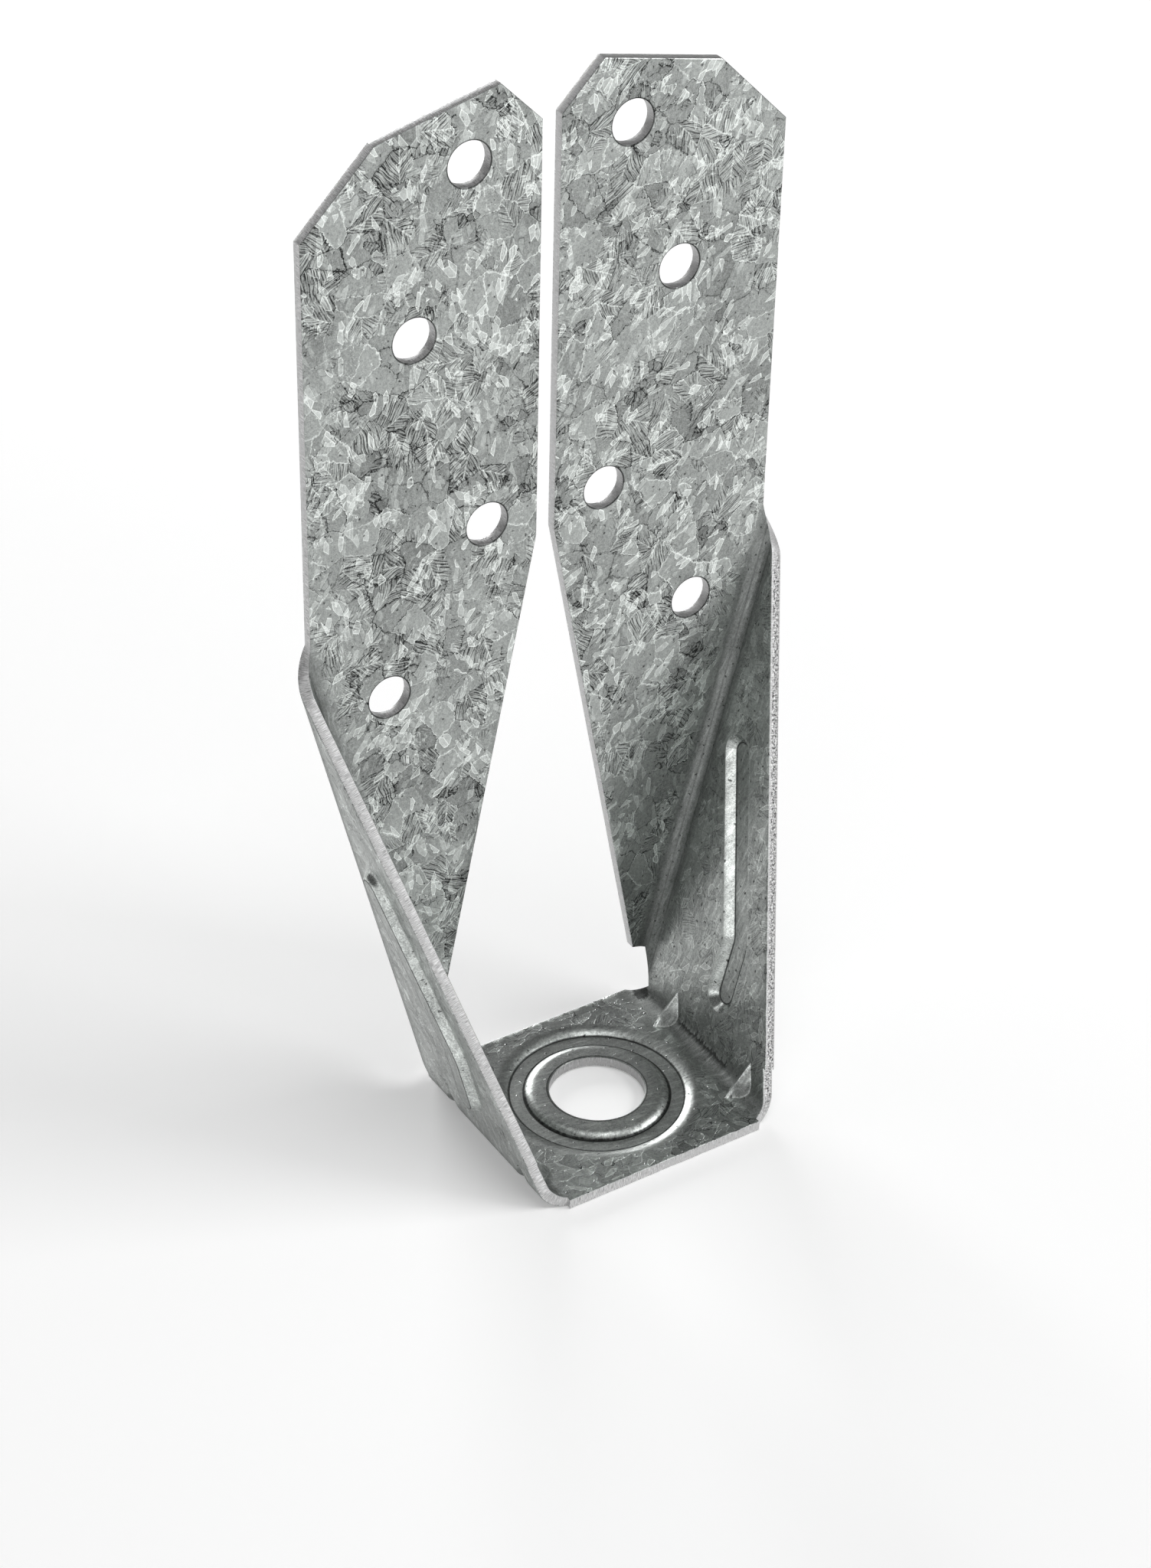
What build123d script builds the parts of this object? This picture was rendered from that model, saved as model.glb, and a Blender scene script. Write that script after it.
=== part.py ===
from build123d import *
import math
import os

# Tension tie: one sheet, cut as a flat blank and folded into a seat, two side walls and two screw plates.
# X runs across the two screw plates, Y from the open front of the seat to the back of the plates, Z up.
# The origin is on the anchor hole's axis, at the underside of the seat.
# Lengths are in millimetres and angles in degrees.

# Sheet
sheet_thickness = 1.9
seat_bend_radius = 2.6
crease_radius = 2.4
neutral_layer = 0.42

# Overall
plate_span = 82.55
overall_height = 175.8
overall_depth = 41.3

# Seat
seat_flat_width = 36.8
seat_back_setback = 1.0
anchor_setback = 20.65
anchor_hole_diameter = 15.9

# Ring pressed round the anchor hole
ring_depth = 0.8
ring_outer_diameter = 29.2
ring_inner_diameter = 24.2
ring_roll_width = 2.4
pad_rise = 0.2
pad_foot_rise = 0.95
pad_foot_width = 1.9

# Side walls
wall_lean = 14.5
wall_front_slope = 22.76
wall_front_start = 2.22
corner_notch_depth = 0.85
corner_notch_step = 0.55
corner_notch_height = 4.4

# Screw plates
plate_gap = 3.2
outer_chamfer = 12.0
inner_chamfer = 7.0
top_edge_slope = 12.95
taper_start_share = 0.568
plate_tip_width = 1.15
relief_height = 6.7
relief_turn = 60.0

# Screw holes: distance from the centre plane, and height as a share of the overall height
screw_hole_diameter = 7.1
screw_hole_places = [(13.8, 0.937), (23.0, 0.792), (10.5, 0.595), (27.8, 0.4494)]

# Stiffening bead in each side wall, set in from the wall's front edge
bead_width = 6.2
bead_floor_width = 3.4
bead_depth = 1.3
bead_setback = 8.3
bead_top_height = 48.9
bead_elbow_height = 19.5
bead_foot_height = 9.4
bead_elbow_radius = 6.0

# Gusset darts pressed in across the two bends of the seat
dart_places = [-12.8, 8.75]
dart_reach_on_seat = 3.5
dart_reach_on_wall = 5.6
dart_flank_angle = 45.0

# Derived heights and depths
front_y = -anchor_setback
back_y = overall_depth - anchor_setback
plate_front_y = back_y - sheet_thickness
seat_back_y = back_y - seat_back_setback
seat_top = sheet_thickness
taper_start_height = overall_height * taper_start_share
bend_edge_x = seat_flat_width / 2
fold_angle = 90 - wall_lean
fold_corner_x = bend_edge_x + seat_bend_radius * math.tan(math.radians(fold_angle / 2))
plate_edge_x = plate_span / 2
lean_sin = math.sin(math.radians(wall_lean))
lean_cos = math.cos(math.radians(wall_lean))

# Directions of the right-hand wall: up along its slope, and square out of its outer face
up_wall = Vector(lean_sin, 0, lean_cos)
out_of_wall = Vector(lean_cos, 0, -lean_sin)

# The seat's bend turns about seat_bend_frame, the crease about crease_frame
seat_bend_frame = Plane(
    origin=(bend_edge_x, 0, seat_top + seat_bend_radius), x_dir=(0, 0, -1), z_dir=(0, -1, 0)
)
wall_origin = seat_bend_frame.origin + out_of_wall * seat_bend_radius
wall_frame = Plane(origin=wall_origin, x_dir=(0, 1, 0), z_dir=out_of_wall)
crease_y = plate_front_y - crease_radius
crease_frame = Plane(
    origin=wall_origin - out_of_wall * crease_radius + Vector(0, crease_y, 0),
    x_dir=out_of_wall,
    z_dir=up_wall,
)
plate_frame = Plane(origin=(0, back_y, 0), x_dir=(1, 0, 0), z_dir=(0, -1, 0))

# Length of sheet that the seat's bend takes up in the flat blank
seat_bend_length = (seat_bend_radius + neutral_layer * sheet_thickness) * math.radians(fold_angle)


def wall_front_y(height):
    """Front edge of the side wall, at a distance up the wall from its bend."""
    return front_y + wall_front_start + height * math.tan(math.radians(wall_front_slope))


def crease_point(height):
    """X and Z on the plate where the crease begins, at a distance up the wall from its bend."""
    point = crease_frame.origin + up_wall * height
    return point.X, point.Z


def bend_section(inside_radius, angle):
    """Section through a bend: a ring sector of the sheet's thickness that starts on the local X axis."""
    inner = CenterArc((0, 0), inside_radius, 0, angle)
    outer = CenterArc((0, 0), inside_radius + sheet_thickness, 0, angle)
    return make_face([inner, outer, Line(inner @ 0, outer @ 0), Line(inner @ 1, outer @ 1)])


def bend(frame, inside_radius, angle, low, high):
    """Bend of the sheet about the frame's Z axis, between two heights on that axis."""
    section = bend_section(inside_radius, angle)
    return extrude(frame * Pos(0, 0, low) * section, high - low, dir=frame.z_dir)


def end_trim(frame, inside_radius, start, end, reach):
    """Cutter for the end of a bend, square to the sheet all the way round.

    start and end are (angle, height). Its edge is straight between them in the flat blank, and reach is
    how far it cuts past that edge along the bend's axis.
    """
    overrun = 2.0
    margin = 0.5 * sheet_thickness
    rate = (end[1] - start[1]) / (end[0] - start[0])
    count = 7
    sections = []
    for step in range(count):
        angle = start[0] - overrun + (end[0] - start[0] + 2 * overrun) * step / (count - 1)
        height = start[1] + rate * (angle - start[0])
        radial = Vector(math.cos(math.radians(angle)), math.sin(math.radians(angle)), 0)
        inner = radial * (inside_radius - margin)
        outer = radial * (inside_radius + sheet_thickness + margin)
        near = Vector(0, 0, height)
        far = Vector(0, 0, height + reach)
        corners = [frame.from_local_coords(p) for p in (inner + near, outer + near, outer + far, inner + far)]
        sections.append(Face(Wire.make_polygon(corners, close=True)))
    return loft(sections)


def seat():
    """Flat seat between its two bends."""
    outline = Rectangle(seat_flat_width, seat_back_y - front_y)
    return extrude(Pos(0, (seat_back_y + front_y) / 2, 0) * outline, sheet_thickness)


def notch_front_y(run):
    """Front edge of the corner notch, at a distance across the blank from the seat."""
    step_y = wall_front_y(corner_notch_height) + corner_notch_step
    start_y = front_y + corner_notch_depth
    return start_y + (step_y - start_y) * run / (seat_bend_length + corner_notch_height)


def seat_bend():
    """Right-hand bend between seat and wall, trimmed to the corner notch and to the relief."""
    body = bend(seat_bend_frame, seat_bend_radius, fold_angle, -seat_back_y, -front_y)
    front = end_trim(
        seat_bend_frame,
        seat_bend_radius,
        (0, -notch_front_y(0)),
        (fold_angle, -notch_front_y(seat_bend_length)),
        sheet_thickness * 3,
    )
    back = end_trim(
        seat_bend_frame, seat_bend_radius, (0, -seat_back_y), (fold_angle, -crease_y), -sheet_thickness * 3
    )
    return body - front - back


def wall():
    """Right-hand side wall, drawn as distances back and up from its bend."""
    top = (crease_y - wall_front_y(0)) / math.tan(math.radians(wall_front_slope))
    step_y = wall_front_y(corner_notch_height)
    outline = Polyline(
        (notch_front_y(seat_bend_length), 0),
        (crease_y, 0),
        (crease_y, top),
        (step_y, corner_notch_height),
        (notch_front_y(seat_bend_length + corner_notch_height), corner_notch_height),
        close=True,
    )
    return extrude(wall_frame * make_face(outline), sheet_thickness)


def crease():
    """Right-hand bend between wall and screw plate, with its lower end cut back by the relief."""
    wall_top = (crease_y - wall_front_y(0)) / math.tan(math.radians(wall_front_slope))
    plate_top = (plate_edge_x - crease_frame.origin.X) / lean_sin
    body = bend(crease_frame, crease_radius, 90, 0, plate_top)
    top = end_trim(crease_frame, crease_radius, (0, wall_top), (90, plate_top), plate_top)
    rising = end_trim(crease_frame, crease_radius, (0, 0), (relief_turn, relief_height), -relief_height * 2)
    level = end_trim(
        crease_frame, crease_radius, (relief_turn, relief_height), (90, relief_height), -relief_height * 2
    )
    return body - top - rising - level


def plate():
    """Right-hand screw plate, drawn from the front."""
    half_gap = plate_gap / 2
    foot = crease_point(relief_height)
    head = crease_point((plate_edge_x - crease_frame.origin.X) / lean_sin)
    # The plate's lower tip is square to the crease, from its bend to the tapered inner edge
    tip = (foot[0] - plate_tip_width * lean_cos, foot[1] + plate_tip_width * lean_sin)
    inner_top = half_gap + inner_chamfer
    outer_top = plate_edge_x - outer_chamfer
    outer_top_z = overall_height - (outer_top - inner_top) * math.tan(math.radians(top_edge_slope))
    outline = Polyline(
        foot,
        head,
        (plate_edge_x, outer_top_z - outer_chamfer),
        (outer_top, outer_top_z),
        (inner_top, overall_height),
        (half_gap, overall_height - inner_chamfer),
        (half_gap, taper_start_height),
        tip,
        close=True,
    )
    sketch = make_face(outline)
    for across, share in screw_hole_places:
        sketch -= Pos(across, overall_height * share) * Circle(screw_hole_diameter / 2)
    return extrude(plate_frame * sketch, sheet_thickness)


def bead(frame):
    """Pressed shape of the bead on a frame: a run along the wall's front edge and a short upright foot."""
    slope = math.tan(math.radians(wall_front_slope))
    across = bead_setback / math.cos(math.radians(wall_front_slope))
    elbow_y = wall_front_y(bead_elbow_height) + across
    line = FilletPolyline(
        (elbow_y, bead_foot_height),
        (elbow_y, bead_elbow_height),
        (elbow_y + (bead_top_height - bead_elbow_height) * slope, bead_top_height),
        radius=bead_elbow_radius,
    )
    outline = make_face(offset(line, bead_width / 2, side=Side.BOTH))
    flank = math.degrees(math.atan((bead_width - bead_floor_width) / 2 / bead_depth))
    return extrude(frame * outline, bead_depth, taper=flank)


def add_bead(side):
    """Bead pressed outwards: a hollow inside and a rib of like shape outside."""
    return side + bead(wall_frame.offset(sheet_thickness)) - bead(wall_frame)


def dart_wedge(place, depth, reach, overrun):
    """Long wedge across the bend, with its edge parallel to the dart's crest and depth beyond it.

    Its edge points into the fold, and the wedge widens away from the fold for the distance reach.
    """
    foot = Vector(fold_corner_x - dart_reach_on_seat, place, seat_top)
    head = Vector(fold_corner_x, place, seat_top) + up_wall * dart_reach_on_wall
    along = (head - foot).normalized()
    inwards = along.cross(Vector(0, 1, 0))
    start = foot - along * overrun - inwards * depth
    half = reach * math.tan(math.radians(dart_flank_angle))
    triangle = make_face(Polyline((0, 0), (-reach, half), (-reach, -half), close=True))
    frame = Plane(origin=start, x_dir=inwards, z_dir=along)
    return extrude(frame * triangle, (head - foot).length + 2 * overrun)


def fold_core():
    """Space inside the fold, down to the middle of the sheet, that a dart's ridge may fill."""
    middle = sheet_thickness / 2
    arc = CenterArc((0, 0), seat_bend_radius + middle, 0, fold_angle)
    rise = Line(arc @ 1, (arc @ 1) + (arc % 1) * dart_reach_on_wall * 2)
    run = Line((arc @ 0) - (arc % 0) * dart_reach_on_seat * 2, arc @ 0)
    section = make_face([run, arc, rise, Line(rise @ 1, run @ 0)])
    length = seat_back_y - front_y
    return extrude(seat_bend_frame * Pos(0, 0, -seat_back_y) * section, length, dir=seat_bend_frame.z_dir)


def add_darts(side):
    """Gusset darts: ridges inside the bend and grooves outside it."""
    core = fold_core()
    for place in dart_places:
        side += dart_wedge(place, 0, 2 * sheet_thickness, sheet_thickness) & core
    for place in dart_places:
        side -= dart_wedge(place, sheet_thickness, 3 * sheet_thickness, 3 * sheet_thickness)
    return side


def ring():
    """Sunk ring and raised pad round the anchor hole, as a turned section of the sheet."""
    hole = anchor_hole_diameter / 2
    outer = ring_outer_diameter / 2
    inner = ring_inner_diameter / 2
    rim = outer + ring_roll_width
    crown = inner - pad_foot_width
    floor_z = seat_top - ring_depth
    crown_z = floor_z + pad_foot_rise
    section = make_face(
        [
            TangentArc((rim, seat_top), (outer, floor_z), tangent=(-1, 0)),
            Line((outer, floor_z), (inner, floor_z)),
            TangentArc((crown, crown_z), (inner, floor_z), tangent=(1, 0)),
            Line((crown, crown_z), (hole, seat_top + pad_rise)),
            Line((hole, seat_top + pad_rise), (hole, pad_rise)),
            Line((hole, pad_rise), (crown, pad_rise)),
            Line((crown, pad_rise), (inner, 0)),
            Line((inner, 0), (rim, 0)),
            Line((rim, 0), (rim, seat_top)),
        ]
    )
    return revolve(Plane.XZ * section, Axis.Z)


def tension_tie():
    """The folded sheet, with its right-hand side mirrored to the left."""
    rim = (ring_outer_diameter / 2 + ring_roll_width) * 2
    base = seat() - extrude(Circle(rim / 2), sheet_thickness)
    side = add_darts(add_bead(seat_bend() + wall() + crease() + plate()))
    return (base + ring() + side + mirror(side, about=Plane.YZ)).clean()


tie = tension_tie()
os.makedirs("parts", exist_ok=True)
export_step(tie.solids()[0] if len(tie.solids()) == 1 else tie, "parts/tension_tie.step")
print("solids", len(tie.solids()), "volume", round(tie.volume, 1), "valid", tie.is_valid)
print("box", tie.bounding_box())
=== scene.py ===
import math

import bpy
import numpy as np
from mathutils import Matrix, Vector, geometry


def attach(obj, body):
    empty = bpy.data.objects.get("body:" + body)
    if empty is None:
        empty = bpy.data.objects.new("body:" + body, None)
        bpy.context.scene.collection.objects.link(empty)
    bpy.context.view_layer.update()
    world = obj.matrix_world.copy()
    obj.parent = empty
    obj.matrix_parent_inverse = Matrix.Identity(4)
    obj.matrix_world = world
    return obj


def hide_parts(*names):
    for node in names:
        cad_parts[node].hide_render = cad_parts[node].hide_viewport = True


bl_info = {
    "name": "Deck tension tie",
    "version": (1, 0, 0),
    "blender": (4, 5, 0),
    "location": "3D View > Sidebar > Tension tie",
    "description": "Builds the folded galvanised sheet, its finish and a plain studio",
    "category": "Add Mesh",
}

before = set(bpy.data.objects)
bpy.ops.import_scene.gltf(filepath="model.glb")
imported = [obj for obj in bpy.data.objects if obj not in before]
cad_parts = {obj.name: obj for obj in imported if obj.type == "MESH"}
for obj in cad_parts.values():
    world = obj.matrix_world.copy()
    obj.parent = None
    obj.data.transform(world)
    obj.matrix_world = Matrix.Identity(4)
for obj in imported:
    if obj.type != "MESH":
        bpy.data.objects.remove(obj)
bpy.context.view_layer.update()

NODE = "tension_tie"
BODY = "root"
MM = 0.001
UV_PER_MM = 0.01
MM_PER_UV = 100
SNAP = 1e-5
LINE_SNAP = 1e-6
FULL_TURN = 6.283
QUARTER_TURN = 1.5708

# The folded sheet, in millimetres and degrees, as its source gives it
SHEET = 1.9
SEAT_RADIUS = 2.6
CREASE_RADIUS = 2.4
NEUTRAL = 0.42
HEIGHT = 175.8
DEPTH = 41.3
HALF_SEAT = 18.4
SEAT_BACK = 1.0
SETBACK = 20.65
HOLE_R = 7.95
RING_DEPTH = 0.8
RING_OUTER = 14.6
RING_INNER = 12.1
RING_RIM = 17.0
RING_CROWN = 10.2
PAD_FOOT = 0.95
PAD_RISE = 0.2
LEAN = 14.5
FRONT_SLOPE = 22.76
FRONT_START = 2.22
NOTCH_DEPTH = 0.85
NOTCH_STEP = 0.55
NOTCH_HEIGHT = 4.4
HALF_SPAN = 41.275
HALF_GAP = 1.6
OUTER_CHAMFER = 12.0
INNER_CHAMFER = 7.0
TOP_SLOPE = 12.95
TAPER_START = 99.85
TIP_WIDTH = 1.15
RELIEF = 6.7
RELIEF_TURN = 60.0
SCREW_R = 3.55
SCREW_HOLES = [(13.8, 164.72), (23.0, 139.23), (10.5, 104.6), (27.8, 79.0)]
BEAD_WIDTH = 6.2
BEAD_FLOOR = 3.4
BEAD_DEPTH = 1.3
BEAD_SETBACK = 8.3
BEAD_TOP = 48.9
BEAD_ELBOW = 19.5
BEAD_FOOT = 9.4
BEAD_RADIUS = 6.0
DARTS = [-12.8, 8.75]
DART_SEAT = 3.5
DART_WALL = 5.6

FOLD = 90 - LEAN
FRONT_Y = -SETBACK
BACK_Y = DEPTH - SETBACK
CREASE_Y = BACK_Y - SHEET - CREASE_RADIUS
SEAT_BACK_Y = BACK_Y - SEAT_BACK
BEND_LENGTH = (SEAT_RADIUS + NEUTRAL * SHEET) * math.radians(FOLD)
CREASE_LENGTH = (CREASE_RADIUS + NEUTRAL * SHEET) * math.radians(90)
WALL_A = HALF_SEAT + BEND_LENGTH
PLATE_B = CREASE_Y + CREASE_LENGTH
UP = np.array([math.sin(math.radians(LEAN)), 0, math.cos(math.radians(LEAN))])
OUT = np.array([math.cos(math.radians(LEAN)), 0, -math.sin(math.radians(LEAN))])
BEND_AXIS = np.array([HALF_SEAT, 0, SHEET + SEAT_RADIUS])
WALL_FOOT = BEND_AXIS + OUT * SEAT_RADIUS
CREASE_AXIS = WALL_FOOT - OUT * CREASE_RADIUS + np.array([0, CREASE_Y, 0])
SLOPE = math.tan(math.radians(FRONT_SLOPE))

# How finely the blank is cut up, in millimetres
OUTLINE_STEP = 0.6
CIRCLE_POINTS = 73
RING_POINTS = 97
GAP_TO_BORDER = 0.3
GAP_TO_LINES = 0.28
RING_CIRCLES = (
    8.5, 9.4, 10.2, 10.55, 10.9, 11.2, 11.5, 11.75, 11.95, 12.1, 12.3,
    12.8, 13.6, 14.3, 14.5, 14.6, 14.75, 15.0, 15.4, 15.9, 16.4, 17.0,
)
BEAD_CONTOURS = (0.9, 1.5, 1.7, 1.95, 2.2, 2.5, 2.8, 3.1, 3.4, 4.0)

# Brightness of the clean zinc coat and of the cut edges, the same all over before the painted shade
# and highlights of the finish
COAT_TONE = 0.38
CUT_TONE = 0.60
BUMP_STRENGTH = 0.5
BUMP_DEPTH = 0.0001

# Stage: the camera's place in metres, its azimuth, elevation and roll, and the lamps as
# (name, azimuth, elevation, size in metres, watts)
CAMERA_PLACE = Vector((-0.2513, -0.37185, 0.3843))
CAMERA_TURN = (-33.439, 35.532, 1.414)
SENSOR_WIDTH = 36
LAMP_TARGET = Vector((0, 0, 0.08))
LAMP_DISTANCE = 1.3
WORLD_STRENGTH = 0.1
LAMPS = [
    ("right_lamp", 60, 40, (0.7, 0.5), 8.0),
    ("back_lamp", 170, 12, (0.7, 0.5), 12.0),
    ("left_lamp", -140, 40, (0.7, 0.5), 1.0),
    ("top_lamp", 0, 80, (0.7, 0.7), 4.0),
    ("front_left_lamp", -50, 12, (0.7, 0.5), 2.0),
    ("front_right_lamp", 20, 12, (0.7, 0.5), 3.0),
]


def wall_front(height):
    """Front edge of a side wall, at a distance up the wall from its bend."""
    return FRONT_Y + FRONT_START + height * SLOPE


def fold(a, b, depth):
    """Places and inward normals of points of the flat blank, folded up.

    a runs across the blank from its middle, b from front to back, and depth from the inner
    face outwards.
    """
    a, b, depth = (np.asarray(v, float) for v in (a, b, depth))
    place = np.stack([a, b, SHEET - depth], -1)
    normal = np.zeros_like(place)
    normal[:, 2] = 1
    turn = (a - HALF_SEAT) / BEND_LENGTH * math.radians(FOLD)
    bend = (a > HALF_SEAT) & (a <= WALL_A)
    away = np.stack([np.sin(turn), np.zeros_like(turn), -np.cos(turn)], -1)
    bent = BEND_AXIS + away * (SEAT_RADIUS + depth)[:, None]
    bent[:, 1] = b
    place[bend], normal[bend] = bent[bend], -away[bend]
    up = (a - WALL_A)[:, None] * UP
    wall = (a > WALL_A) & (b <= CREASE_Y)
    flat = WALL_FOOT + up + OUT * depth[:, None]
    flat[:, 1] = b
    place[wall], normal[wall] = flat[wall], -OUT
    behind = (a > WALL_A) & (b > CREASE_Y)
    angle = np.clip((b - CREASE_Y) / CREASE_LENGTH, 0, 1) * math.pi / 2
    away = np.cos(angle)[:, None] * OUT + np.sin(angle)[:, None] * np.array([0, 1, 0])
    run = np.maximum(b - PLATE_B, 0)[:, None]
    turned = CREASE_AXIS + up + away * (CREASE_RADIUS + depth)[:, None] - OUT * run
    place[behind], normal[behind] = turned[behind], -away[behind]
    return place, normal


def plate_to_blank(x, z):
    """Place on the blank of a point of the right-hand screw plate."""
    offset = np.array([x, 0, z]) - CREASE_AXIS
    return WALL_A + offset @ UP, PLATE_B - offset @ OUT


def soft_step(value, low, high):
    """Smooth step from 0 at low to 1 at high."""
    t = np.clip((value - low) / (high - low), 0, 1)
    return t * t * (3 - 2 * t)


def ring_lift(radius):
    """Height of the ring and pad above the seat, on the inner face and on the outer one."""
    width = RING_RIM - RING_OUTER
    roll = (width**2 + RING_DEPTH**2) / (2 * RING_DEPTH)
    foot_width = RING_INNER - RING_CROWN
    foot = (foot_width**2 + PAD_FOOT**2) / (2 * PAD_FOOT)
    crown = PAD_FOOT - RING_DEPTH
    down = np.sqrt(np.maximum(roll**2 - (RING_RIM - radius) ** 2, 0)) - roll
    up = crown + np.sqrt(np.maximum(foot**2 - (radius - RING_CROWN) ** 2, 0)) - foot
    top = PAD_RISE + (crown - PAD_RISE) * (radius - HOLE_R) / (RING_CROWN - HOLE_R)
    inner = np.select(
        [radius >= RING_RIM, radius >= RING_OUTER, radius >= RING_INNER, radius >= RING_CROWN],
        [0 * radius, down, 0 * radius - RING_DEPTH, up],
        top,
    )
    outer = PAD_RISE * np.clip((RING_INNER - radius) / foot_width, 0, 1)
    return inner, outer


def bead_path():
    """Centre line of a bead on the blank, as points close together."""
    across = BEAD_SETBACK / math.cos(math.radians(FRONT_SLOPE))
    elbow = np.array([WALL_A + BEAD_ELBOW, wall_front(BEAD_ELBOW) + across])
    foot = elbow - [BEAD_ELBOW - BEAD_FOOT, 0]
    rise = BEAD_TOP - BEAD_ELBOW
    top = elbow + [rise, rise * SLOPE]
    half = math.radians(FRONT_SLOPE) / 2
    cut = BEAD_RADIUS * math.tan(half)
    ahead = (top - elbow) / np.linalg.norm(top - elbow)
    start = elbow - [cut, 0]
    centre = start + [0, BEAD_RADIUS]
    arc = [
        centre + BEAD_RADIUS * np.array([math.sin(t), -math.cos(t)])
        for t in np.linspace(0, 2 * half, 9)
    ]
    leg = elbow + ahead * cut
    points = [foot + (start - foot) * t for t in np.linspace(0, 1, 16)[:-1]]
    points += arc
    points += [leg + (top - leg) * t for t in np.linspace(0, 1, 42)[1:]]
    return np.array(points)


def distance_to(path, a, b):
    """Least distance of each point from a line of many points."""
    start, step = path[:-1], np.diff(path, axis=0)
    best = np.full(len(a), 1e9)
    for p, d in zip(start, step):
        t = np.clip(((a - p[0]) * d[0] + (b - p[1]) * d[1]) / (d @ d), 0, 1)
        best = np.minimum(best, np.hypot(a - p[0] - d[0] * t, b - p[1] - d[1] * t))
    return best


def bead_lift(distance, crisp):
    """Share of the bead's depth at a distance from its centre line."""
    ramp = np.clip((BEAD_WIDTH / 2 - distance) / (BEAD_WIDTH - BEAD_FLOOR) * 2, 0, 1)
    smooth = ramp * ramp * (3 - 2 * ramp)
    return crisp * ramp + (1 - crisp) * smooth


def dart_frame():
    """Foot of a dart's crest in the X-Z plane, and the direction into the fold."""
    corner = HALF_SEAT + SEAT_RADIUS * math.tan(math.radians(FOLD) / 2)
    foot = np.array([corner - DART_SEAT, 0, SHEET])
    head = np.array([corner, 0, SHEET]) + UP * DART_WALL
    along = (head - foot) / np.linalg.norm(head - foot)
    return foot, np.array([-along[2], 0, along[0]])


def dart_lift(a, b, depth, below):
    """How far a dart lifts each point of a face off the plain fold, below its crest by the sheet."""
    place, normal = fold(a, b, depth)
    foot, inwards = dart_frame()
    lift = np.zeros(len(a))
    for centre in DARTS:
        drop = np.abs(b - centre) + below
        gain = (-drop - (place - foot) @ inwards) / np.maximum(normal @ inwards, 0.2)
        near = (np.abs(b - centre) < 4) & (a > HALF_SEAT - 6) & (a < WALL_A + 8)
        lift = np.where(near, np.maximum(lift, gain), lift)
    return lift


def dart_rise(a, b):
    """Height of the nearest dart over each point of the inner face, below zero outside its foot."""
    place, normal = fold(a, b, np.zeros(len(a)))
    foot, inwards = dart_frame()
    rise = np.full(len(a), -3.0)
    for centre in DARTS:
        gain = (-np.abs(b - centre) - (place - foot) @ inwards) / np.maximum(normal @ inwards, 0.2)
        near = (a > HALF_SEAT - 7) & (a < WALL_A + 9)
        rise = np.where(near, np.maximum(rise, gain), rise)
    return rise


def lifts(a, b):
    """Lift of the inner and of the outer face off the plain fold, along the inward normal."""
    right = np.abs(a)
    radius = np.hypot(a, b)
    inner, outer = ring_lift(radius)
    on_seat = right < HALF_SEAT
    inner, outer = inner * on_seat, outer * on_seat
    bead = distance_to(bead_path(), right, b)
    inner = inner - BEAD_DEPTH * bead_lift(bead, 0.75)
    outer = outer - BEAD_DEPTH * bead_lift(bead, 0.35)
    inner = inner + dart_lift(right, b, np.zeros(len(a)), 0.0)
    outer = outer + dart_lift(right, b, np.full(len(a), SHEET), SHEET)
    return inner, outer


def blank_outline():
    """Outline of the blank's right-hand half, front to back, and which of its edges are cut edges."""
    wall_top = (CREASE_Y - wall_front(0)) / SLOPE
    plate_top = (HALF_SPAN - CREASE_AXIS[0]) / UP[0]
    foot = CREASE_AXIS + UP * RELIEF
    tip = foot - OUT * TIP_WIDTH
    inner_top = HALF_GAP + INNER_CHAMFER
    outer_top = HALF_SPAN - OUTER_CHAMFER
    outer_z = HEIGHT - (outer_top - inner_top) * math.tan(math.radians(TOP_SLOPE))
    plate = [
        (HALF_SPAN, outer_z - OUTER_CHAMFER),
        (outer_top, outer_z),
        (inner_top, HEIGHT),
        (HALF_GAP, HEIGHT - INNER_CHAMFER),
        (HALF_GAP, TAPER_START),
        (tip[0], tip[2]),
    ]
    step = wall_front(NOTCH_HEIGHT)
    turn = RELIEF_TURN / 90 * CREASE_LENGTH
    points = [
        (0, FRONT_Y),
        (HALF_SEAT, FRONT_Y),
        (HALF_SEAT, FRONT_Y + NOTCH_DEPTH),
        (WALL_A + NOTCH_HEIGHT, step + NOTCH_STEP),
        (WALL_A + NOTCH_HEIGHT, step),
        (WALL_A + wall_top, CREASE_Y),
        (WALL_A + plate_top, PLATE_B),
    ]
    points += [plate_to_blank(x, z) for x, z in plate]
    points += [
        (WALL_A + RELIEF, CREASE_Y + turn),
        (WALL_A, CREASE_Y),
        (HALF_SEAT, SEAT_BACK_Y),
        (0, SEAT_BACK_Y),
    ]
    points += [(0, HOLE_R)]
    points += [
        (HOLE_R * math.sin(t), HOLE_R * math.cos(t))
        for t in np.linspace(0, math.pi, CIRCLE_POINTS)[1:-1]
    ]
    points += [(0, -HOLE_R)]
    points = np.array(points)
    cut = np.ones(len(points), bool)
    cut[[np.flatnonzero((points == (0, SEAT_BACK_Y)).all(1))[0], len(points) - 1]] = False
    return points, cut


def inset_loop(points, cut, amount):
    """The loop moved inwards by an amount at its cut edges."""
    edge = np.roll(points, -1, 0) - points
    edge = edge / np.linalg.norm(edge, axis=1)[:, None]
    normal = np.stack([-edge[:, 1], edge[:, 0]], -1)
    move = amount * cut
    out = points.copy()
    for i in range(len(points)):
        pair = np.array([normal[i - 1], normal[i]])
        offsets = np.array([move[i - 1], move[i]])
        if abs(np.linalg.det(pair)) > 1e-3:
            out[i] += np.linalg.solve(pair, offsets)
        else:
            out[i] += normal[i] * offsets[1]
    return out


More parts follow.
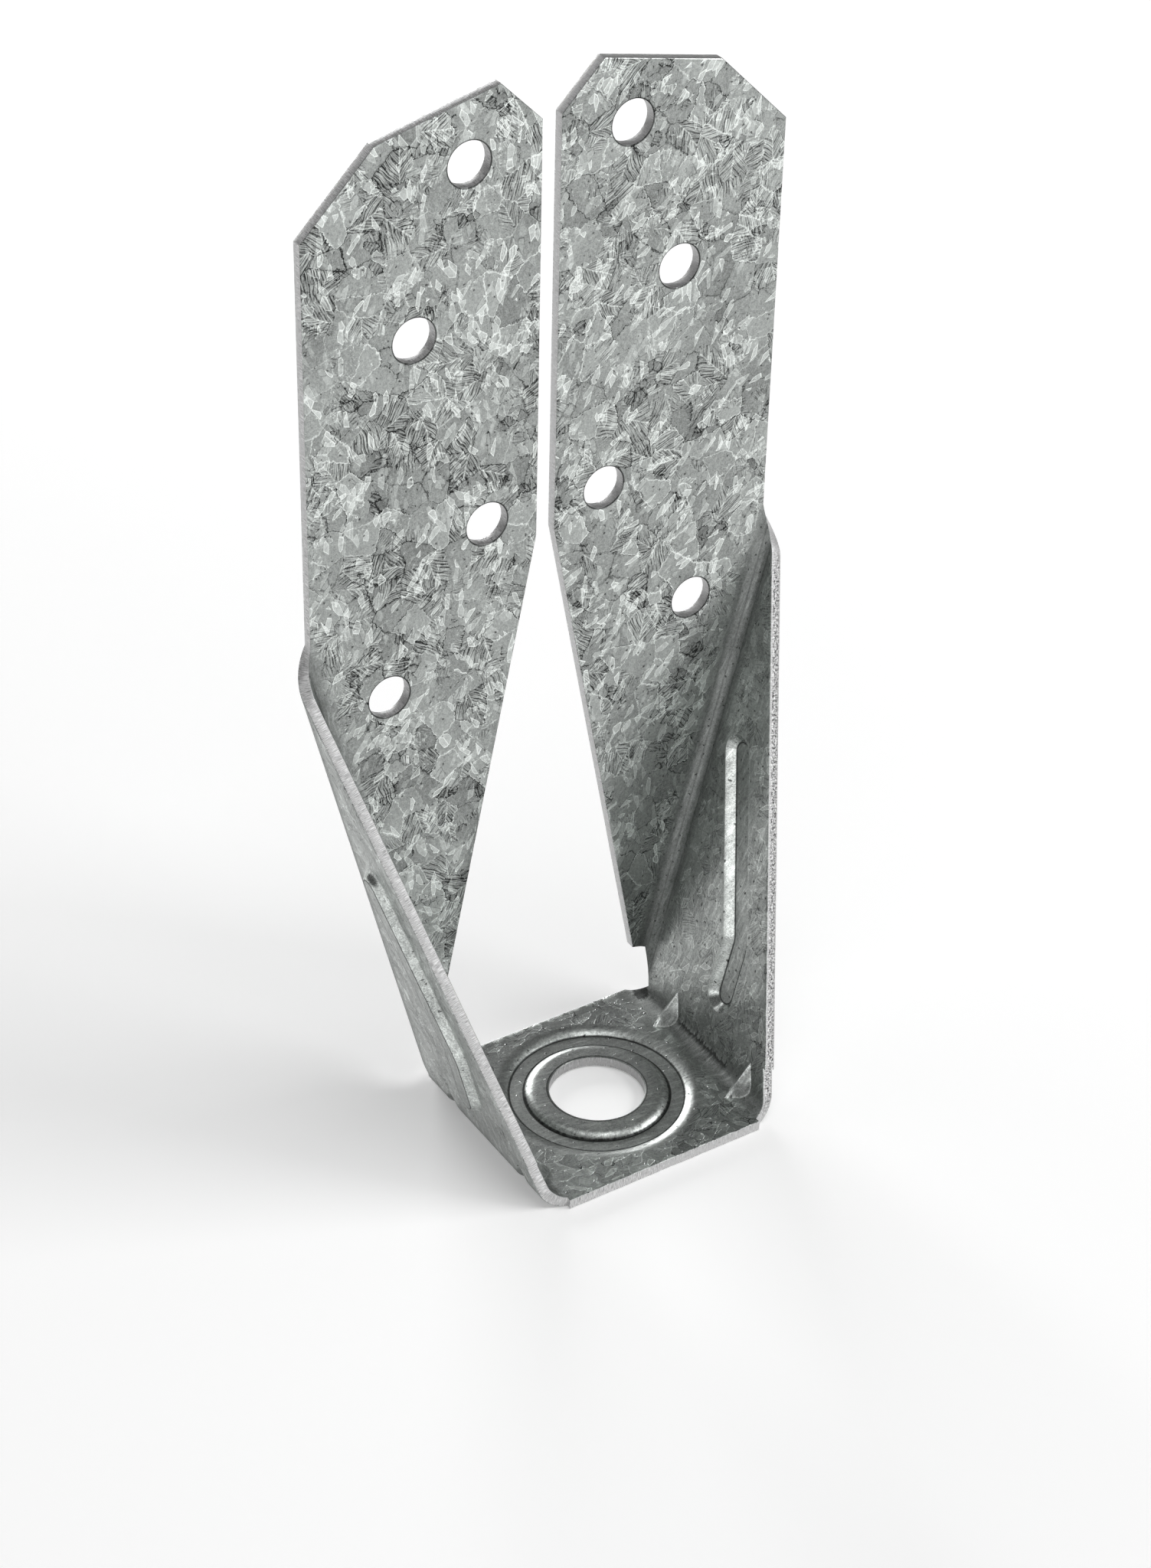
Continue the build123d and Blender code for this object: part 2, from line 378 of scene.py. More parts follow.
def subdivide(points, counts):
    """Points along a closed loop, each edge cut into its own count of equal lengths."""
    parts = []
    for i, count in enumerate(counts):
        t = np.arange(count)[:, None] / count
        parts.append(points[i] + (points[(i + 1) % len(points)] - points[i]) * t)
    return np.concatenate(parts)


def inside(points, loop):
    """Whether each point lies inside a closed loop."""
    x, y = points[:, 0], points[:, 1]
    result = np.zeros(len(points), bool)
    for p, q in zip(loop, np.roll(loop, -1, 0)):
        if p[1] == q[1]:
            continue
        crosses = (p[1] > y) != (q[1] > y)
        at = p[0] + (y - p[1]) * (q[0] - p[0]) / (q[1] - p[1])
        result ^= crosses & (x < at)
    return result


def near_any(points, others, reach):
    """Whether each point has one of the others within reach."""
    cells = {}
    for p in others:
        cells.setdefault((int(p[0] // reach), int(p[1] // reach)), []).append(p)
    found = np.zeros(len(points), bool)
    for i, p in enumerate(points):
        cx, cy = int(p[0] // reach), int(p[1] // reach)
        for dx in (-1, 0, 1):
            for dy in (-1, 0, 1):
                for q in cells.get((cx + dx, cy + dy), ()):
                    if (p[0] - q[0]) ** 2 + (p[1] - q[1]) ** 2 < reach * reach:
                        found[i] = True
                        break
    return found


def feature_lines():
    """Lines on the blank that the mesh follows, as (points, closed)."""
    lines = []
    for radius in RING_CIRCLES:
        t = np.linspace(0, math.pi, RING_POINTS)
        lines.append((np.stack([radius * np.sin(t), radius * np.cos(t)], -1), False))
    path = bead_path()
    ahead = np.gradient(path, axis=0)
    ahead /= np.linalg.norm(ahead, axis=1)[:, None]
    side = np.stack([-ahead[:, 1], ahead[:, 0]], -1)
    for reach in BEAD_CONTOURS:
        caps = []
        for end, sign in ((0, -1), (-1, 1)):
            round_end = []
            for t in np.linspace(0, math.pi, 15)[1:-1]:
                away = np.cos(t) * sign * side[end] + np.sin(t) * sign * ahead[end]
                round_end.append(path[end] + reach * away)
            caps.append(round_end)
        left = path + side * reach
        right = path - side * reach
        loop = np.concatenate([left, np.array(caps[1]), right[::-1], np.array(caps[0])])
        lines.append((loop, True))
    return lines


def dart_lines():
    """Crest and base lines of the darts on the inner face, and of their grooves on the outer face."""
    lines = []
    foot, inwards = dart_frame()
    a = np.linspace(HALF_SEAT - 6, WALL_A + 9, 120)
    for depth, below in ((0.0, 0.0), (SHEET, SHEET)):
        place, _ = fold(a, np.zeros(len(a)), np.full(len(a), depth))
        reach = -(place - foot) @ inwards - below
        on = reach > 0.02
        for centre in DARTS:
            lines.append((np.stack([a[on], np.full(on.sum(), centre)], -1), False))
            for sign in (-1, 1):
                lines.append((np.stack([a[on], centre + sign * reach[on]], -1), False))
    return lines


def grid_points():
    """Loose points that fill the blank, closer together on curved stretches than on flat ones."""
    parts = []
    rows = [
        (np.arange(0.7, HALF_SEAT, 0.7), np.arange(FRONT_Y, SEAT_BACK_Y, 0.7)),
        (np.linspace(HALF_SEAT, WALL_A, 15), np.arange(FRONT_Y, SEAT_BACK_Y, 0.6)),
        (np.arange(WALL_A + 0.5, WALL_A + 60, 0.75), np.arange(FRONT_Y, CREASE_Y, 0.75)),
        (np.arange(WALL_A + 60, WALL_A + 92, 1.2), np.arange(FRONT_Y, CREASE_Y, 1.2)),
        (np.arange(WALL_A, WALL_A + 100, 1.4), np.linspace(CREASE_Y, PLATE_B, 19)),
        (np.arange(WALL_A, WALL_A + 190, 2.4), np.arange(PLATE_B + 1.5, PLATE_B + 60, 2.4)),
    ]
    for across, along in rows:
        aa, bb = np.meshgrid(across, along, indexing="ij")
        parts.append(np.stack([aa.ravel(), bb.ravel()], -1))
    return np.concatenate(parts)


def edge_rows(rounding):
    """(inset, depth) of the rows round a cut edge, from the inner face to the outer one."""
    rows = []
    for t in np.linspace(0, math.pi / 2, 4):
        rows.append((rounding * (1 - math.sin(t)), rounding * (1 - math.cos(t))))
    rows.append((0.0, SHEET / 2))
    return rows + [(inset, SHEET - depth) for inset, depth in rows[-2::-1]]


def blank_mesh(rounding):
    """Arrays of the whole folded sheet: places, faces, materials, blank and edge coordinates."""
    outline, cut = blank_outline()
    length = np.linalg.norm(np.roll(outline, -1, 0) - outline, axis=1)
    counts = np.maximum(1, np.round(length / OUTLINE_STEP)).astype(int)
    holes = []
    for x, z in SCREW_HOLES:
        centre = np.array(plate_to_blank(x, z))
        t = -np.linspace(0, 2 * math.pi, CIRCLE_POINTS)[:-1]
        holes.append((centre, np.stack([np.cos(t), np.sin(t)], -1)))
    rows = edge_rows(rounding)
    loops = []
    for inset, _ in rows:
        ring = [subdivide(inset_loop(outline, cut, inset), counts)]
        ring += [centre + circle * (SCREW_R + inset) for centre, circle in holes]
        loops.append(ring)
    cut_edges = [np.repeat(cut, counts)] + [np.ones(len(circle), bool) for _, circle in holes]

    domain = loops[0]
    fixed, constraints, owner = [], [], []
    for ring in domain:
        start = sum(len(f) for f in fixed)
        fixed.append(ring)
        owner.append(np.arange(start, start + len(ring)))
        n = len(ring)
        constraints += [(start + i, start + (i + 1) % n) for i in range(n)]
    border = np.concatenate(domain)

    def clear_of_border(points, gap):
        ok = inside(points, domain[0])
        for centre, _ in holes:
            ok &= np.linalg.norm(points - centre, axis=1) > SCREW_R + rounding + gap
        return ok & ~near_any(points, border, gap)

    total = len(border)
    placed = []
    for line, closed in feature_lines() + dart_lines():
        line = line[line[:, 0] > -LINE_SNAP]
        line[np.abs(line[:, 0]) < LINE_SNAP, 0] = 0.0
        n = len(line)
        fixed.append(line)
        constraints += [(total + i, total + i + 1) for i in range(n - 1)]
        if closed:
            constraints.append((total + n - 1, total))
        placed.append(line)
        total += n
    grid = grid_points()
    grid = grid[clear_of_border(grid, GAP_TO_BORDER)]
    placed = np.concatenate(placed)
    grid = grid[~near_any(grid, placed, GAP_TO_LINES)]
    radius = np.hypot(grid[:, 0], grid[:, 1])
    grid = grid[(radius > RING_RIM + GAP_TO_BORDER) | (grid[:, 0] > HALF_SEAT)]
    seam = np.stack([np.zeros(60), np.linspace(FRONT_Y, SEAT_BACK_Y, 60)], -1)
    seam = seam[(np.abs(seam[:, 1]) > RING_RIM + GAP_TO_BORDER)]
    seam = seam[(seam[:, 1] > FRONT_Y + 0.4) & (seam[:, 1] < SEAT_BACK_Y - 0.4)]
    points = np.concatenate(fixed + [grid, seam])
    result = geometry.delaunay_2d_cdt(
        [Vector(p) for p in points], constraints, [], 0, SNAP, True
    )
    flat = np.array([tuple(v) for v in result[0]])
    triangles = np.array([f for f in result[2] if len(f) == 3])
    centres = flat[triangles].mean(1)
    keep = inside(centres, domain[0])
    for centre, circle in holes:
        keep &= ~inside(centres, centre + circle * (SCREW_R + rounding))
    triangles = triangles[keep]
    new_index = {}
    for i, sources in enumerate(result[3]):
        for s in sources:
            new_index[s] = i
    used = np.unique(triangles)
    renumber = -np.ones(len(flat), int)
    renumber[used] = np.arange(len(used))
    flat = flat[used]
    flat[np.abs(flat[:, 0]) < SNAP, 0] = 0.0
    triangles = renumber[triangles]
    area = np.cross(
        flat[triangles[:, 1]] - flat[triangles[:, 0]], flat[triangles[:, 2]] - flat[triangles[:, 0]]
    )
    triangles[area < 0] = triangles[area < 0][:, ::-1]

    n = len(flat)
    ab = [flat, flat]
    share = [np.zeros(n), np.ones(n)]
    faces = [tuple(f) for f in triangles[:, ::-1]] + [tuple(f + n) for f in triangles]
    kinds = [0] * len(faces)
    face_uv = [None] * len(faces)
    total = 2 * n
    for k, ring0 in enumerate(domain):
        top = np.array([renumber[new_index[i]] for i in owner[k]])
        previous = top
        run = np.linalg.norm(np.roll(ring0, -1, 0) - ring0, axis=1)
        along = np.concatenate([[0], np.cumsum(run)])
        for r in range(1, len(rows)):
            if r == len(rows) - 1:
                current = top + n
            else:
                current = np.arange(total, total + len(ring0))
                ring = loops[r][k].copy()
                ring[np.abs(ring[:, 0]) < SNAP, 0] = 0.0
                ab.append(ring)
                share.append(np.full(len(ring), rows[r][1] / SHEET))
                total += len(ring)
            m = len(ring0)
            for i in range(m):
                if not cut_edges[k][i]:
                    continue
                j = (i + 1) % m
                faces.append((previous[i], previous[j], current[j], current[i]))
                d0, d1 = rows[r - 1][1], rows[r][1]
                face_uv.append((along[i], along[i + 1], d0, d1))
                kinds.append(1 if min(r, len(rows) - r) > 2 else 0)
            previous = current
    ab = np.concatenate(ab)
    share = np.concatenate(share)
    inner, outer = lifts(ab[:, 0], ab[:, 1])
    place, normal = fold(ab[:, 0], ab[:, 1], share * SHEET)
    place = place + normal * ((1 - share) * inner + share * outer)[:, None]
    return place, faces, kinds, face_uv, ab, share


def mirrored(place, faces, kinds, face_uv, ab, share):
    """The right-hand half with its mirror image joined on at the middle."""
    n = len(place)
    seam = ab[:, 0] == 0
    other = np.where(seam, np.arange(n), 0)
    other[~seam] = n + np.arange((~seam).sum())
    place = np.concatenate([place, place[~seam] * [-1, 1, 1]])
    faces = faces + [tuple(other[i] for i in reversed(f)) for f in faces]
    ab = np.concatenate([ab, ab[~seam] * [-1, 1]])
    return place, faces, kinds * 2, face_uv, ab, np.concatenate([share, share[~seam]])


def build_sheet(rounding):
    """The folded sheet as one mesh object, with blank and edge coordinates for its finish."""
    right = blank_mesh(rounding)
    half = len(right[1])
    place, faces, kinds, face_uv, ab, share = mirrored(*right)
    mesh = bpy.data.meshes.new("galvanised_tie")
    mesh.from_pydata((place * MM).tolist(), [], [tuple(int(i) for i in f) for f in faces])
    blank = mesh.uv_layers.new(name="Blank")
    edge = mesh.uv_layers.new(name="Edge")
    blank_uv = np.empty((len(mesh.loops), 2))
    edge_uv = np.zeros((len(mesh.loops), 2))
    vertex = np.empty(len(mesh.loops), int)
    mesh.loops.foreach_get("vertex_index", vertex)
    blank_uv[:] = ab[vertex] * UV_PER_MM
    cursor = 0
    for index, f in enumerate(faces):
        source = face_uv[index % half]
        if source is not None:
            a0, a1, d0, d1 = source
            corners = [(a0, d0), (a1, d0), (a1, d1), (a0, d1)]
            if index >= half:
                corners = corners[::-1]
            edge_uv[cursor : cursor + 4] = np.array(corners) * UV_PER_MM
        cursor += len(f)
    blank.uv.foreach_set("vector", blank_uv.ravel())
    edge.uv.foreach_set("vector", edge_uv.ravel())
    mesh.polygons.foreach_set("material_index", kinds)
    for name, values in sheet_masks(ab, share).items():
        attribute = mesh.attributes.new(name, "FLOAT", "POINT")
        attribute.data.foreach_set("value", values.astype(np.float32))
    mesh.validate()
    mesh.shade_smooth()
    mesh.set_sharp_from_angle(angle=math.radians(28))
    mesh.update()
    tie = bpy.data.objects.new("galvanised_tie", mesh)
    bpy.context.scene.collection.objects.link(tie)
    return tie


def sheet_masks(ab, share):
    """Masks on the blank: bends, bead, darts, ring, plate, seat, wall and outer face."""
    a, b = np.abs(ab[:, 0]), ab[:, 1]
    in_fold = soft_step(a, HALF_SEAT - 1.2, HALF_SEAT + 0.6)
    in_fold = in_fold * (1 - soft_step(a, WALL_A - 0.6, WALL_A + 1.2))
    behind = a > WALL_A - 0.5
    in_crease = behind * soft_step(b, CREASE_Y - 1.0, CREASE_Y + 0.5)
    in_crease = in_crease * (1 - soft_step(b, PLATE_B - 0.5, PLATE_B + 1.0))
    radius = np.hypot(ab[:, 0], b)
    ring = (1 - soft_step(radius, RING_RIM - 0.6, RING_RIM + 0.6)) * (a < HALF_SEAT)
    reach = distance_to(bead_path(), a, b)
    bead = 1 - soft_step(reach, 2.6, 4.2)
    plate = behind * soft_step(b, PLATE_B - 1.0, PLATE_B + 1.5)
    rise = dart_rise(a, b)
    return {
        "fold": in_fold,
        "crease": in_crease,
        "ring": ring,
        "bead": bead,
        "plate": plate,
        "dart": soft_step(rise, 0.02, 0.2),
        "dart_rise": rise,
        "dart_off": np.min([np.abs(b - centre) for centre in DARTS], axis=0),
        "seat": 1 - soft_step(a, HALF_SEAT, WALL_A),
        "wall": soft_step(a, HALF_SEAT + 0.5, WALL_A + 0.5),
        "bead_reach": reach,
        "outer": share,
    }


class Wire:
    """A node socket that takes part in sums: an operator adds the Math node that does it."""

    def __init__(self, nodes, socket):
        self.nodes = nodes
        self.socket = socket

    def math(self, operation, *others):
        return self.nodes.add("ShaderNodeMath", {"operation": operation}, [self, *others])

    def __add__(self, other):
        return self.math("ADD", other)

    __radd__ = __add__

    def __mul__(self, other):
        return self.math("MULTIPLY", other)

    __rmul__ = __mul__

    def __sub__(self, other):
        return self.math("SUBTRACT", other)

    def __rsub__(self, other):
        return self.nodes.add("ShaderNodeMath", {"operation": "SUBTRACT"}, [other, self])

    def __truediv__(self, other):
        return self.math("DIVIDE", other)

    def __pow__(self, other):
        return self.math("POWER", other)

    def __abs__(self):
        return self.math("ABSOLUTE")

    def out(self, name):
        """Another output of the same node."""
        return Wire(self.nodes, self.socket.node.outputs[name])

    def most(self, other):
        return self.math("MAXIMUM", other)

    def least(self, other):
        return self.math("MINIMUM", other)

    def above(self, edge, width=0.02):
        """0 below the edge and 1 above it, over a narrow width."""
        return self.nodes.add(
            "ShaderNodeMapRange",
            {"interpolation_type": "SMOOTHSTEP"},
            {"Value": self, "From Min": edge - width, "From Max": edge + width},
        )

    def below(self, edge, width=0.02):
        return 1 - self.above(edge, width)


class Nodes:
    """Nodes of one material."""

    def __init__(self, name):
        self.material = bpy.data.materials.new(name)
        self.material.use_nodes = True
        self.tree = self.material.node_tree
        self.tree.nodes.clear()

    def add(self, kind, settings=None, inputs=(), output=0):
        """Adds a node. Settings are set first, then its sockets get values or links."""
        node = self.tree.nodes.new(kind)
        for name, value in (settings or {}).items():
            setattr(node, name, value)
        items = inputs.items() if isinstance(inputs, dict) else enumerate(inputs)
        for key, value in items:
            socket = node.inputs[key]
            if isinstance(value, Wire):
                self.tree.links.new(value.socket, socket)
            else:
                socket.default_value = value
        return Wire(self, node.outputs[output]) if len(node.outputs) else None

    def mask(self, name):
        return self.add("ShaderNodeAttribute", {"attribute_name": name}, output="Fac")

    def uv(self, name):
        return self.add("ShaderNodeUVMap", {"uv_map": name})

    def stretched(self, vector, scale):
        return self.add("ShaderNodeMapping", {}, {"Vector": vector, "Scale": scale})

    def drawn_out(self, vector, angle, scale):
        """Coordinates turned by an angle, then drawn out along each axis."""
        return self.add(
            "ShaderNodeMapping",
            {"vector_type": "TEXTURE"},
            {"Vector": vector, "Scale": scale, "Rotation": (0, 0, angle)},
        )

    def blend(self, colour, amount, vector):
        """A vector pushed about by a noise colour."""
        return self.add(
            "ShaderNodeVectorMath",
            {"operation": "MULTIPLY_ADD"},
            [colour, (amount, amount, 0), vector],
        )

    def turned(self, vector, angle):
        """X and Y of a vector turned by a varying angle."""
        x, y, _ = self.parts(vector)
        cosine, sine = angle.math("COSINE"), angle.math("SINE")
        return x * cosine + y * sine, y * cosine - x * sine

    def noise(self, vector, scale, detail=3.0, roughness=0.5, output="Fac"):
        return self.add(
            "ShaderNodeTexNoise",
            {"noise_dimensions": "3D"},
            {"Vector": vector, "Scale": scale, "Detail": detail, "Roughness": roughness},
            output=output,
        )

    def cells(self, vector, scale, feature="F1"):
        return self.add(
            "ShaderNodeTexVoronoi",
            {"feature": feature, "voronoi_dimensions": "2D"},
            {"Vector": vector, "Scale": scale},
            output="Distance",
        )

    def from_centre(self, vector, cell):
        """How far each point lies from the middle of its own cell."""
        return self.add(
            "ShaderNodeVectorMath", {"operation": "SUBTRACT"}, [vector, cell.out("Position")]
        )

    def parts(self, vector):
        """X, Y and Z of a vector."""
        node = self.tree.nodes.new("ShaderNodeSeparateXYZ")
        self.tree.links.new(vector.socket, node.inputs[0])
        return [Wire(self, s) for s in node.outputs]

    def vector(self, x, y):
        return self.add("ShaderNodeCombineXYZ", {}, [x, y])

    def grey(self, value, tint):
        """A grey level times a tint."""
        return self.add(
            "ShaderNodeVectorMath", {"operation": "SCALE"}, {0: tint, "Scale": value}
        )

    def from_screw_holes(self, x, y):
        """Distance in millimetres from the middle of each screw hole, on the blank."""
        for hole in SCREW_HOLES:
            hole_a, hole_b = plate_to_blank(*hole)
            da, db = abs(x) * MM_PER_UV - hole_a, y * MM_PER_UV - hole_b
            yield (da * da + db * db) ** 0.5

    def finish(self, base, roughness, height, metallic):
        normal = self.add(
            "ShaderNodeBump",
            {},
            {"Strength": BUMP_STRENGTH, "Distance": BUMP_DEPTH, "Height": height},
        )
        shader = self.add(
            "ShaderNodeBsdfPrincipled",
            {},
            {"Base Color": base, "Roughness": roughness, "Metallic": metallic, "Normal": normal},
        )
        self.add("ShaderNodeOutputMaterial", {}, {"Surface": shader})
        return self.material


def zinc_material(settings):
    """Hot-dip zinc: torn crystals, ferns and needles on flat sheet, drawn smooth at its bends, with
    painted shade in its bends, creases and hollows and painted highlights on the bead, darts and
    ring.
    """
    n = Nodes("zinc_spangle")
    blank = n.uv("Blank")
    x, y, _ = n.parts(blank)
    sway = n.noise(blank, 15.0, 2.0, output="Color")
    jag = n.noise(blank, 130.0, 3.0, 0.65, output="Color")
    swayed = n.blend(sway, 0.026, blank)
    torn = n.blend(jag, 0.013, swayed)
    grain = n.noise(blank, 420.0, 3.0, 0.7)
    speck = n.noise(blank, 170.0, 3.0, 0.6)
    cloud = n.noise(blank, 3.2, 5.0, 0.6)
    patch = n.noise(blank, 9.0, 2.0, 0.5)

    # Crystals with torn borders: plain ones, dark ones, and ones grown as ferns
    crystal = n.cells(torn, 21.0)
    level, turn, choice = n.parts(crystal.out("Color"))
    border = n.cells(torn, 21.0, "DISTANCE_TO_EDGE")
    along, across = n.turned(n.from_centre(swayed, crystal), turn * FULL_TURN)
    barbs = n.vector((along + abs(across) * 1.2) * 300.0, across * 45.0)
    ferns = ((n.noise(barbs, 1.0, 1.0) - 0.5) * 5.0).most(-1).least(1)
    fern_on = (patch + (speck - 0.5) * 0.6 + (choice - 0.5) * 0.5).above(0.57, 0.03)
    spine = abs(across).below(0.0010, 0.0006) * fern_on
    dark = choice.below(0.16, 0.01)
    line = border.below(0.011, 0.009) * n.noise(blank, 34.0).above(0.47, 0.04)

    # Finer crystals between the large ones
    small = n.cells(torn, 58.0)
    level_s, turn_s, choice_s = n.parts(small.out("Color"))
    border_s = n.cells(torn, 58.0, "DISTANCE_TO_EDGE")
    along_s, across_s = n.turned(n.from_centre(blank, small), turn_s * FULL_TURN)
    barbs_s = n.vector(along_s * 380.0, across_s * 50.0)
    fine = ((n.noise(barbs_s, 1.0, 1.0) - 0.5) * 5.0).most(-1).least(1)
    busy = (n.noise(blank, 12.0, 2.0) + (cloud - 0.5) * 0.4 + (speck - 0.5) * 0.3).above(0.52, 0.03)
    small_on = busy * choice_s.above(0.3, 0.02)

    # Needles and shards, in one of three directions from place to place
    way = n.parts(n.cells(swayed, 16.0).out("Color"))[0]
    needles, needle_rim = 0.0, 0.0
    for angle, low, high in ((1.30, -0.1, 0.44), (1.90, 0.38, 0.74), (0.75, 0.68, 1.1)):
        drawn = n.drawn_out(blank, angle, (1.0, 2.7, 1.0))
        shard = n.cells(drawn, 120.0)
        pick, shade, _ = n.parts(shard.out("Color"))
        outline = n.cells(drawn, 120.0, "DISTANCE_TO_EDGE").below(0.09, 0.05)
        here = way.above(low, 0.01) * way.below(high, 0.01)
        on = pick.above(0.76, 0.01)
        needles = on * here * (0.3 + 0.7 * shade) + needles
        needle_rim = on * here * outline * (shade * 1.5 - 0.5) + needle_rim

    scratch = 0.0
    for angle, reach in ((1.08, 0.0035), (-0.35, 0.0025)):
        hair = n.noise(n.drawn_out(blank, angle, (1.0, 45.0, 1.0)), 22.0, 1.0)
        scratch = abs(hair - 0.5).below(reach, reach * 0.6) + scratch
    scratch = scratch * n.noise(blank, 5.5, 1.0).above(0.56, 0.03)
    pits = n.cells(n.blend(jag, 0.01, blank), 38.0)
    pit = pits.below(0.055, 0.03) * n.parts(pits.out("Color"))[0].above(0.35, 0.02)

    # Where the sheet is bent or pressed the spangle is drawn smooth
    across_mm, b_mm = abs(x) * MM_PER_UV, y * MM_PER_UV
    outer, plate = n.mask("outer"), n.mask("plate")
    inner = 1 - outer
    fold, crease, ring, bead = n.mask("fold"), n.mask("crease"), n.mask("ring"), n.mask("bead")
    pressed = fold.most(crease).most(ring).most(bead * (1 - outer * 0.5))
    flat = 1 - pressed
    rich = flat * (0.45 + 0.55 * plate + 0.30 * n.mask("seat"))

    spangle = (level - 0.5) * 0.10 + (cloud - 0.5) * 0.15 - dark * 0.06
    spangle = spangle + across * (turn.above(0.5) - 0.3) * 1.6
    spangle = spangle + fern_on * (ferns * 0.28 - 0.06) + spine * 0.25
    barbed = fine * choice_s.above(0.5, 0.02)
    spangle = spangle + small_on * ((level_s - 0.5) * 0.24 + barbed * 0.18)
    spangle = spangle + border.below(0.026, 0.016) * (level - 0.5) * 0.70
    spangle = spangle + border_s.below(0.06, 0.04) * (level_s - 0.5) * small_on * 0.75
    spangle = spangle + needles * 0.24 + needle_rim * 0.42 + line * 0.16
    drawn_zinc = (n.noise(blank, 24.0, 4.0, 0.65) - 0.5) * 0.36
    strokes = n.noise(n.drawn_out(swayed, 1.45, (1.0, 9.0, 1.0)), 150.0, 3.0, 0.65)
    drawn_zinc = drawn_zinc + (strokes - 0.5) * 0.34 + strokes.above(0.62, 0.05) * 0.14
    tone = COAT_TONE + spangle * rich * 1.10 + drawn_zinc * (1 - rich * 0.8)
    tone = tone + (speck - 0.5) * 0.40 + (grain - 0.5) * 0.52 + scratch * 0.06
    tone = tone * (1 - pit * 0.7)

    # The coat is even all over, but darker where the sheet was drawn round a bend: partly duller
    # drawn zinc, partly painted shade in the seat's bend and the crease
    dull_and_shaded_bends = (fold * 0.22).most(crease * 0.30) + (strokes - 0.5) * 0.30 * crease
    turned_share = (b_mm - CREASE_Y) / CREASE_LENGTH
    # Two dark lines along the inner face of the crease
    crease_dark_lines = 0.0
    for share in (0.56, 0.16):
        crease_dark_lines = abs(turned_share - share).below(0.03, 0.04) + crease_dark_lines
    region = (1 - dull_and_shaded_bends) * (1 - crease_dark_lines * crease * inner * 0.35)

    # Dark line at the sheared rim of each screw hole
    rim = 0.0
    for distance in n.from_screw_holes(x, y):
        rim = (distance - SCREW_R).below(0.24, 0.06) + rim
    rim = rim.least(1) * plate

    # Marks of the ring and pad, the same all the way round: painted shade lines in the ring's two
    # creases, a dark line round the hole, a darker pad, and painted highlight specks on the ring's
    # lip and the pad's foot
    radius = ((x * x + y * y) ** 0.5) * MM_PER_UV
    seat = n.mask("seat") * inner
    # Painted shade: dark lines in the ring's two creases
    groove = abs(radius - RING_OUTER).below(0.18, 0.08) * 0.9
    groove = groove + abs(radius - RING_INNER).below(0.26, 0.10)
    groove = groove + abs(radius - HOLE_R - 0.35).below(0.12, 0.08) * 0.8
    groove = groove * seat
    pad = radius.below(12.0, 0.3) * seat
    # Painted highlight: bright specks on the ring's lip and on the pad's foot, all the way round
    ring_lip_glint = radius.above(14.72, 0.05) * radius.below(15.5, 0.35)
    pad_foot_glint = radius.above(10.8, 0.4) * radius.below(12.0, 0.2)
    lip_and_foot_glints = ring_lip_glint.most(pad_foot_glint) * seat * speck.above(0.47, 0.10)
    region = region * (1 - pad * 0.15) * (1 - groove * 0.9) + lip_and_foot_glints * 0.25

    # Bead: both slopes rubbed by the punch and lit by a painted highlight, with painted shade along
    # each side of its floor
    reach = n.mask("bead_reach")
    bead_slope_rub_and_highlight = reach.above(1.78, 0.08) * (reach + (speck - 0.5) * 1.6).below(3.1, 0.6)
    bead_floor_shade = abs(reach - 1.66).below(0.14, 0.08)
    region = (region + bead_slope_rub_and_highlight * (0.45 + (grain - 0.5) * 0.8)) * (1 - bead_floor_shade * 0.75)

    # Darts: painted highlights along their crests and feet, fine draw marks on their faces
    rise = n.mask("dart_rise")
    # Painted highlight along each dart's crest
    crest = n.mask("dart") * n.mask("dart_off").below(0.16 + (grain - 0.5) * 1.1, 0.14)
    dart_foot_highlight = abs(rise - 0.12).below(0.06 + (grain - 0.5) * 0.30, 0.07)
    facet = rise.above(0.12, 0.08) * inner
    grooves = n.noise(n.drawn_out(blank, QUARTER_TURN, (1.0, 12.0, 1.0)), 300.0, 2.0, 0.7)
    region = region * (1 + facet * (grooves - 0.5) * 1.6) + (crest + dart_foot_highlight) * inner * 0.45

    # Galled strip and drawn streaks along the seat's bend, between the darts, over painted shade
    # along the bend
    between = b_mm.above(-7.6, 0.4) * b_mm.below(6.4, 0.5)
    streak = n.noise(n.drawn_out(blank, 0.0, (14.0, 1.0, 1.0)), 260.0, 3.0, 0.7)
    gall = n.noise(n.drawn_out(blank, 0.0, (4.5, 1.0, 1.0)), 190.0, 2.0, 0.6)
    aside = across_mm - WALL_A + 0.6 + (gall - 0.5) * 1.6
    strip = abs(aside).below(0.85, 0.55) * between * inner
    # Painted shade along the seat's bend, with drawn streaks in it
    bend_shade_and_streaks = across_mm.above(HALF_SEAT + 0.6, 0.8) * across_mm.below(WALL_A - 0.6, 0.6)
    region = region * (1 - bend_shade_and_streaks * between * inner * (0.12 + (streak - 0.5) * 1.2))
